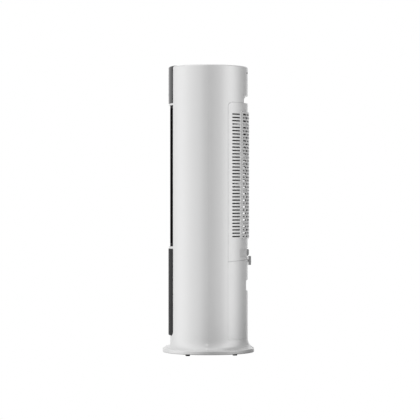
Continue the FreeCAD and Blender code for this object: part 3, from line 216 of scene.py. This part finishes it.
WHITE = (0.80, 0.80, 0.80)
MATERIALS = {
    "white_shell": lambda: plastic("white_pearl", WHITE, 0.36, 0.004, 0.012, Metallic=0.35),
    "grey_base": lambda: plastic("base_grey", (0.33, 0.33, 0.34), 0.6, 0.03, 0.12),
    "foot_rubber": lambda: plastic("rubber_black", (0.018, 0.018, 0.018), 0.85, 0.15, 0.3, 1500.0),
    "steel_screw": lambda: brushed("screw_steel", (0.58, 0.57, 0.55), 0.34, 0),
    "display_gloss": lambda: plastic("window_gloss", (0.012, 0.012, 0.014), 0.12, 0.1, 0.0,
                                     Coat_Weight=0.25, Specular_IOR_Level=0.3),
    "strip_satin": lambda: plastic("panel_satin", (0.016, 0.016, 0.017), 0.5, 0.06, 0.1, 3200.0,
                                   Specular_IOR_Level=0.1),
    "outlet_black": lambda: plastic("outlet_black", (0.006, 0.006, 0.0065), 0.62, 0.1, 0.12,
                                    Specular_IOR_Level=0.04),
    "knob_grey": lambda: plastic("knob_grey", (0.36, 0.36, 0.365), 0.42, 0.03, 0.08),
    "deck_grey": lambda: plastic("inner_grey", (0.36, 0.37, 0.38), 0.55, 0.04, 0.12),
    "motor_black": lambda: plastic("motor_black", (0.02, 0.02, 0.021), 0.4, 0.1, 0.1, 1200.0),
    "fan_grey": lambda: plastic("fan_grey", (0.055, 0.056, 0.06), 0.5, 0.05, 0.1),
    "shaft_steel": lambda: brushed("shaft_steel", (0.6, 0.6, 0.6), 0.25, 2),
    "bearing_bronze": lambda: granular("sintered_bronze", (0.42, 0.26, 0.11), 0.0009),
    "mount_rubber": lambda: plastic("mount_rubber", (0.02, 0.02, 0.02), 0.85, 0.2, 0.3, 1400.0),
    # near-black frame plastic; its dark also serves as painted shade, standing for the dark inside seen
    # through the grille slots
    "filter_plastic": lambda: plastic("filter_frame_plastic", (0.03, 0.03, 0.032), 0.6, 0.05, 0.1),
    "filter_paper": lambda: fibrous("filter_paper", (0.82, 0.82, 0.78), 700.0),
    "carbon_black": lambda: granular("carbon_granules", (0.02, 0.02, 0.021), 0.0022),
    "mesh_grey": lambda: woven("prefilter_weave", (0.32, 0.32, 0.325), 0.0008),
    "foam_seal": lambda: granular("seal_foam", (0.07, 0.07, 0.072), 0.0012),
    "pad_fibre": lambda: fibrous("pad_fibre", (0.50, 0.60, 0.66), 260.0),
    "hose_silicone": lambda: plastic("hose_silicone", (0.62, 0.63, 0.62), 0.45, 0.03, 0.05,
                                     Subsurface_Weight=0.2),
    "loom_sleeve": lambda: woven("loom_sleeve", (0.02, 0.02, 0.02), 0.0012),
    "impeller_white": lambda: plastic("impeller_white", (0.7, 0.7, 0.7), 0.45),
    "tank_lid_grey": lambda: plastic("tank_lid_grey", (0.16, 0.17, 0.18), 0.5),
    "float_white": lambda: fibrous("float_foam", (0.8, 0.8, 0.77), 900.0, 0.8),
}


def tank_plastic():
    s = Surface("tank_clear", (0.72, 0.78, 0.82), 0.16, Transmission_Weight=0.85, IOR=1.45)
    s.vary(0.03, 14.0).grain(900.0, 0.03)
    return s.mat


# Each board's laminate: the axis across it, its middle plane on that axis and its thickness.
BOARD_T = 1.6 * MM
BOARDS = {"main_board": ("Z", 0.9608, BOARD_T), "display_board": ("Y", -0.1258, BOARD_T),
          "power_board": ("Y", -0.0592, BOARD_T)}


def dress_nodes():
    made = {"tank_clear": tank_plastic()}
    for part in frame["record"]["subparts"]:
        node, slot = part["node"], part["material_slot"]
        if node in BOARDS:
            mat = circuit(node + "_laminate", *BOARDS[node])
        else:
            if slot not in made:
                made[slot] = MATERIALS[slot]()
            mat = made[slot]
        obj = NODES[node]
        obj.data.materials.clear()
        obj.data.materials.append(mat)


# ---- small detail on the parts --------------------------------------------------------------
SINK = 0.02 * MM         # how far a raised line reaches into the surface under it
TAPER = 0.8              # width of its top, as a share of its foot
PRINT_LIFT = 0.12 * MM   # how far printed marks stand proud
MARK_LIFT = 0.3 * MM
CLIP_LIFT = 0.8 * MM

# Marks on the window: a ring, a row of dots below it and a row of keys below that.
RING_Z, DOTS_Z, KEYS_Z = 1.040, 1.006, 0.985
RING_R, DOT_R = 20 * MM, 1.1 * MM
DOT_STEP, KEY_STEP = 9 * MM, 15 * MM
RING_LINE, DOT_LINE, KEY_LINE, FINE_LINE = 1.6 * MM, 0.7 * MM, 0.8 * MM, 0.6 * MM
KEY_R = 3.2 * MM         # half length of the plus and the minus

# Level marks on the side of the tank; every fifth is long.
TICKS, TICK_STEP, TICK_L, TICK_LINE = 11, 22 * MM, 8 * MM, 0.9 * MM
TICK_END = 86 * MM

RIB_STEP = 2.4 * MM      # grip lines on the turn latch
RIB_LINE = 0.6 * MM

CLIP_X, CLIP_L, CLIP_W = 60 * MM, 24 * MM, 2.4 * MM
CLIP_IN = 2.2 * MM       # clips of the prefilter frame, in from its ends


def on_window(u, z, lift):
    # a place on the face of the display window, u along its curve
    r = WINDOW_R + lift
    return (r * math.sin(u / WINDOW_R), -r * math.cos(u / WINDOW_R), z)


def on_knob(u, z, lift):
    return (u, KNOB_HIGH[1] + lift, z)


def on_tank_side(u, z, lift):
    return (TANK_HIGH[0] + lift, u, z)


def on_frame_back(u, z, lift):
    return (u, FRAME_HIGH[1] + lift, z)


def arc(cx, cz, r, start, end, steps):
    turn = [math.radians(start + (end - start) * i / steps) for i in range(steps + 1)]
    return [(cx + r * math.cos(t), cz + r * math.sin(t)) for t in turn]


def stroke(form, points, width, place, low, high, closed=False):
    # a raised line of even width along points, on the surface given by place
    n = len(points)
    rows = []
    for i, (u, z) in enumerate(points):
        before = points[(i - 1) % n] if closed or i else points[i]
        after = points[(i + 1) % n] if closed or i < n - 1 else points[i]
        du, dz = after[0] - before[0], after[1] - before[1]
        size = math.hypot(du, dz)
        nu, nz = -dz / size * width / 2.0, du / size * width / 2.0
        tu, tz = nu * TAPER, nz * TAPER
        corners = [(u - nu, z - nz, low), (u + nu, z + nz, low),
                   (u + tu, z + tz, high), (u - tu, z - tz, high)]
        rows.append([form.verts.new(place(*c)) for c in corners])
    for i in range(n if closed else n - 1):
        a, b = rows[i], rows[(i + 1) % n]
        for k in range(4):
            form.faces.new((a[k], a[(k + 1) % 4], b[(k + 1) % 4], b[k]))
    if not closed:
        form.faces.new(rows[0])
        form.faces.new(rows[-1][::-1])


def piece(name, strokes, place, lift, mat, body):
    form = bmesh.new()
    for points, width, closed in strokes:
        stroke(form, points, width, place, -SINK, lift, closed)
    bmesh.ops.recalc_face_normals(form, faces=form.faces)
    mesh = bpy.data.meshes.new(name)
    form.to_mesh(mesh)
    form.free()
    obj = bpy.data.objects.new(name, mesh)
    bpy.context.scene.collection.objects.link(obj)
    mesh.materials.append(mat)
    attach(obj, body)


def key_bar(x, angle):
    du, dz = KEY_R * math.cos(math.radians(angle)), KEY_R * math.sin(math.radians(angle))
    return ([(x - du, KEYS_Z - dz), (x + du, KEYS_Z + dz)], KEY_LINE, False)


def window_marks():
    marks = [(arc(0.0, RING_Z, RING_R, 0, 345, 46), RING_LINE, True)]
    for i in (-2, -1, 0, 1, 2):
        marks.append((arc(i * DOT_STEP, DOTS_Z, DOT_R, 0, 324, 9), DOT_LINE, True))
    minus, plus = -2 * KEY_STEP, 2 * KEY_STEP
    marks += [key_bar(minus, 0), key_bar(plus, 0), key_bar(plus, 90)]
    power_stem = [(0.0, KEYS_Z + 1.2 * MM), (0.0, KEYS_Z + 4.4 * MM)]
    marks.append((arc(0.0, KEYS_Z, 3.6 * MM, 120, 420, 24), KEY_LINE, False))
    marks.append((power_stem, KEY_LINE, False))
    outside = arc(-KEY_STEP, KEYS_Z, 3.4 * MM, 60, 300, 18)
    inside = arc(-KEY_STEP + 2.1 * MM, KEYS_Z, 2.6 * MM, 270, 90, 14)
    marks.append((outside + inside[1:-1], FINE_LINE, True))      # moon
    drop_tip = [(KEY_STEP, KEYS_Z + 4.2 * MM)]
    marks.append((drop_tip + arc(KEY_STEP, KEYS_Z - 0.8 * MM, 2.7 * MM, 160, 380, 18), FINE_LINE, True))
    return marks


def tank_ticks():
    marks = []
    for i in range(TICKS):
        z = TANK_LOW[2] + (i + 1) * TICK_STEP
        length = 2 * TICK_L if i % 5 == 0 else TICK_L
        marks.append(([(TICK_END, z), (TICK_END - length, z)], TICK_LINE, False))
    return marks


def knob_marks():
    z = (KNOB_LOW[2] + KNOB_HIGH[2]) / 2.0
    ribs = [([(u, z - 9 * MM), (u, z + 3.5 * MM)], RIB_LINE, False) for u in (-RIB_STEP, 0.0, RIB_STEP)]
    return ribs + [(arc(0.0, z + 11.2 * MM, 1.1 * MM, 0, 330, 11), 0.8 * MM, True)]


def frame_clips():
    marks = []
    for x in (-CLIP_X, CLIP_X):
        for z in (FRAME_LOW[2] + CLIP_IN, FRAME_HIGH[2] - CLIP_IN):
            marks.append(([(x - CLIP_L / 2.0, z), (x + CLIP_L / 2.0, z)], CLIP_W, False))
    return marks


def add_detail():
    print_grey = plastic("mark_grey", (0.42, 0.43, 0.44), 0.5, 0.04, 0.04)
    dark_grey = plastic("mark_dark", (0.08, 0.08, 0.082), 0.5, 0.05, 0.05)
    piece("window_marks", window_marks(), on_window, PRINT_LIFT, print_grey, "tower")
    piece("tank_ticks", tank_ticks(), on_tank_side, MARK_LIFT, dark_grey, "tank")
    piece("knob_marks", knob_marks(), on_knob, MARK_LIFT, dark_grey, "latch")
    piece("frame_clips", frame_clips(), on_frame_back, CLIP_LIFT, dark_grey, "cover")


# ---- studio -------------------------------------------------------------------------------
FLOOR_SIZE = 40.0
SHADE_R = 0.30           # painted shadow: the floor is painted dark for the light this far round a place at the tower's back
SHADE_Y = 0.09
PAINTED_SHADOW_GREY = 0.12
SHADE_MOST = 0.25        # share of the painted shadow at its middle

CAMERA_DISTANCE = 6.75
CAMERA_SIDE = 0.0063
CAMERA_HEIGHT = 0.5024   # as a share of the tower's height
CAMERA_LENS = 152.0      # millimetres, on a sensor 36 mm wide


def for_the_eye(tree, shown, lit):
    # the eye sees the shader shown, the lighting sees the shader lit
    path = tree.nodes.new("ShaderNodeLightPath")
    mix = tree.nodes.new("ShaderNodeMixShader")
    tree.links.new(path.outputs["Is Camera Ray"], mix.inputs["Fac"])
    tree.links.new(lit, mix.inputs[1])
    tree.links.new(shown, mix.inputs[2])
    return mix.outputs["Shader"]


# Brightness of the studio round the tower, as panels from one direction to another, in degrees: 0 is the
# camera's side, -90 the front of the tower, 90 its back. It fades evenly from one panel to the next.
PANELS = [
    (-180, -170, 1.1),    # wall opposite the camera
    (-155, -115, 0.8),    # its front end
    (-100, -75, 1.3),     # soft box at the tower's front
    (-38, -22, 0.9),      # wall beside the camera
    (-5, 10, 0.25),       # dark gap round the camera
    (22, 38, 0.55),       # wall on the camera's other side
    (55, 75, 1.35),       # soft box at the tower's back
    (112, 145, 0.1),      # black flag
    (155, 180, 1.1),      # wall opposite the camera
]
BRIGHTEST = max(level for start, end, level in PANELS)


def soft_world():
    world = bpy.data.worlds.new("studio")
    bpy.context.scene.world = world
    world.use_nodes = True
    tree = world.node_tree
    lit = tree.nodes["Background"]
    lit.inputs["Strength"].default_value = BRIGHTEST
    shown = tree.nodes.new("ShaderNodeBackground")
    shown.inputs["Color"].default_value = (1.0, 1.0, 1.0, 1.0)
    coords = tree.nodes.new("ShaderNodeTexCoord")
    turn = tree.nodes.new("ShaderNodeTexGradient")
    turn.gradient_type = "RADIAL"
    tree.links.new(coords.outputs["Generated"], turn.inputs["Vector"])
    ramp = tree.nodes.new("ShaderNodeValToRGB")
    stops = ramp.color_ramp.elements
    while len(stops) > 1:
        stops.remove(stops[-1])
    edges = [(direction, level) for start, end, level in PANELS for direction in (start, end)]
    for i, (direction, level) in enumerate(edges):
        place = (direction + 180.0) / 360.0
        stop = stops[0] if i == 0 else stops.new(place)
        stop.position = place
        grey = level / BRIGHTEST
        stop.color = (grey, grey, grey, 1.0)
    tree.links.new(turn.outputs["Fac"], ramp.inputs["Fac"])
    tree.links.new(ramp.outputs["Color"], lit.inputs["Color"])
    both = for_the_eye(tree, shown.outputs["Background"], lit.outputs["Background"])
    tree.links.new(both, tree.nodes["World Output"].inputs["Surface"])


def pale_floor():
    mesh = bpy.data.meshes.new("floor")
    form = bmesh.new()
    bmesh.ops.create_grid(form, x_segments=1, y_segments=1, size=FLOOR_SIZE)
    form.to_mesh(mesh)
    form.free()
    floor = bpy.data.objects.new("floor", mesh)
    bpy.context.scene.collection.objects.link(floor)
    # the eye sees a pale floor; the studio's light comes through it from below, except where a painted
    # shadow, a dark patch round the tower's back, is seen by the light only
    paint = Surface("floor_white", (0.7, 0.7, 0.7), 0.9)
    paint.vary(0.01, 2.0)
    glow = paint.add("ShaderNodeEmission", Color=(1.0, 1.0, 1.0, 1.0), Strength=1.0)
    clear = paint.add("ShaderNodeBsdfTransparent")
    # painted shadow: the dark grey the light meets on the floor round the tower's back
    shade = paint.add("ShaderNodeBsdfDiffuse", Color=(PAINTED_SHADOW_GREY, PAINTED_SHADOW_GREY, PAINTED_SHADOW_GREY, 1.0))
    near = paint.add("ShaderNodeTexGradient", gradient_type="SPHERICAL")
    spot = paint.add("ShaderNodeMapping", Location=(0.0, -SHADE_Y / SHADE_R, 0.0),
                     Scale=(1.0 / SHADE_R, 1.0 / SHADE_R, 1.0))
    paint.link(paint.coords, spot.inputs["Vector"])
    paint.link(spot.outputs["Vector"], near.inputs["Vector"])
    lit = paint.add("ShaderNodeMixShader")
    paint.link(paint.span(near.outputs["Fac"], 0.0, 1.0, 0.0, SHADE_MOST), lit.inputs["Fac"])
    paint.link(clear.outputs["BSDF"], lit.inputs[1])
    paint.link(shade.outputs["BSDF"], lit.inputs[2])
    both = for_the_eye(paint.tree, glow.outputs["Emission"], lit.outputs["Shader"])
    paint.link(both, paint.tree.nodes["Material Output"].inputs["Surface"])
    mesh.materials.append(paint.mat)


def studio():
    scene = bpy.context.scene
    scene.view_settings.view_transform = "Standard"
    soft_world()
    pale_floor()
    camera_data = bpy.data.cameras.new("camera")
    camera_data.sensor_width = 36.0
    camera_data.lens = CAMERA_LENS
    camera = bpy.data.objects.new("camera", camera_data)
    camera.location = (CAMERA_DISTANCE, CAMERA_SIDE, TOP * CAMERA_HEIGHT)
    camera.rotation_euler = (math.radians(90.0), 0.0, math.radians(90.0))
    scene.collection.objects.link(camera)
    scene.camera = camera


dress_nodes()
add_detail()
studio()
